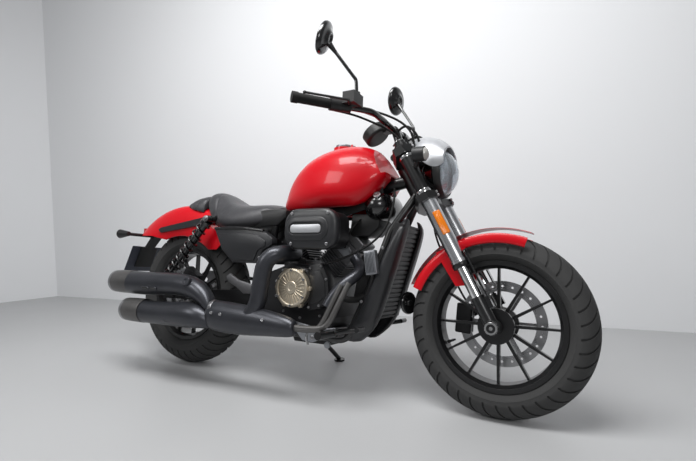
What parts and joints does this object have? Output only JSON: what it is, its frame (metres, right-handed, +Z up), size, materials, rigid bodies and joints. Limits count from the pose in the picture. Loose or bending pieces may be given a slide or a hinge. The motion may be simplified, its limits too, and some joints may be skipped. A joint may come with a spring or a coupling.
{
  "type": "cruiser motorcycle",
  "caption": "Low cruiser motorcycle with a liquid-cooled V-twin engine, stacked exhaust, cast spoked wheels and a red tank, leaning on its side stand.",
  "frame": {"origin": "middle of the machine's footprint on the ground, below the middle of its bounding box, as it leans on its side stand", "axes": "+X to the front of the machine, +Y to the rider's left, the side it leans to, +Z up"},
  "size_m": [2.1498, 0.8822, 1.3553],
  "materials": {
    "black_paint": "satin black enamel",
    "black_plastic": "moulded",
    "bright_aluminium": "brushed",
    "bronze_paint": "satin champagne bronze",
    "cast_aluminium": "bead-blasted casting",
    "dark_grey_paint": "satin dark grey",
    "dark_plate": "bare plate",
    "gunmetal": "satin gunmetal coating",
    "lamp_lens": "clear",
    "polished_chrome": "polished",
    "red_lens": "translucent red",
    "red_paint": "glossy deep red lacquer",
    "rubber": "matte",
    "seat_cover": "fine-grained",
    "steel": "machined",
    "tyre_rubber": "matte"
  },
  "bodies": {
    "chassis": {"air_cleaner": "black_paint", "air_cleaner_cover": "dark_grey_paint", "clutch_cover": "bronze_paint", "drive_chain": "steel", "engine_case": "black_paint", "exhaust_headers": "gunmetal", "fender_struts": "dark_grey_paint", "foot_controls": "black_paint", "frame": "black_paint", "front_cylinder": "cast_aluminium", "fuel_tank": "red_paint", "lower_muffler": "gunmetal", "number_plate": "dark_plate", "plate_bracket": "black_paint", "radiator": "black_paint", "radiator_shroud": "black_plastic", "rear_caliper": "black_paint", "rear_cylinder": "cast_aluminium", "rear_fender": "red_paint", "rear_indicators": "dark_grey_paint", "rider_seat": "seat_cover", "shock_absorbers": "black_paint", "shock_springs": "polished_chrome", "side_covers": "dark_grey_paint", "swingarm": "dark_grey_paint", "tail_lamp": "red_lens", "tail_pad": "seat_cover", "upper_muffler": "gunmetal"},
    "steering": {"fork_outer_tubes": "bright_aluminium", "fork_upper_tubes": "black_paint", "fork_inner_tubes": "polished_chrome", "fork_clamps": "black_paint", "fork_lugs": "black_paint", "front_caliper": "black_paint", "front_fender": "red_paint", "fork_guards": "black_plastic", "headlight_shell": "gunmetal", "headlight_lens": "lamp_lens", "headlight_cowl": "bright_aluminium", "handlebar": "black_paint", "grips": "rubber", "bar_controls": "dark_grey_paint", "mirrors": "black_plastic", "meter": "black_plastic", "front_indicators": "black_plastic"},
    "front_wheel": {"front_tyre": "tyre_rubber", "front_rim": "black_paint", "front_disc": "steel"},
    "rear_wheel": {"rear_tyre": "tyre_rubber", "rear_rim": "black_paint", "rear_disc": "steel", "rear_sprocket": "steel"},
    "side_stand": {"side_stand": "black_paint"},
    "fuel_lid": {"fuel_cap": "polished_chrome"}
  },
  "joints": [
    {"name": "steering_turn", "type": "hinge", "parent": "chassis", "child": "steering", "pos_m": [0.46762, -0.03298, 0.77589], "axis": [-0.4695, 0.1229, 0.8744], "range_deg": [-32, 32]},
    {"name": "front_wheel_spin", "type": "hinge", "parent": "steering", "child": "front_wheel", "pos_m": [0.77589, -0.10033, 0.29668], "axis": [0, 0.9903, -0.1392], "continuous": true},
    {"name": "rear_wheel_spin", "type": "hinge", "parent": "chassis", "child": "rear_wheel", "pos_m": [-0.64411, -0.09697, 0.32059], "axis": [0, 0.9903, -0.1392], "continuous": true},
    {"name": "side_stand_swing", "type": "hinge", "parent": "chassis", "child": "side_stand", "pos_m": [-0.08411, 0.02365, 0.20164], "axis": [-0.1422, 0.9784, 0.1497], "range_deg": [0, 90]},
    {"name": "fuel_lid_open", "type": "hinge", "parent": "chassis", "child": "fuel_lid", "pos_m": [0.19789, -0.00755, 0.95683], "axis": [0, 0.9903, -0.1392], "range_deg": [0, 90]}
  ]
}
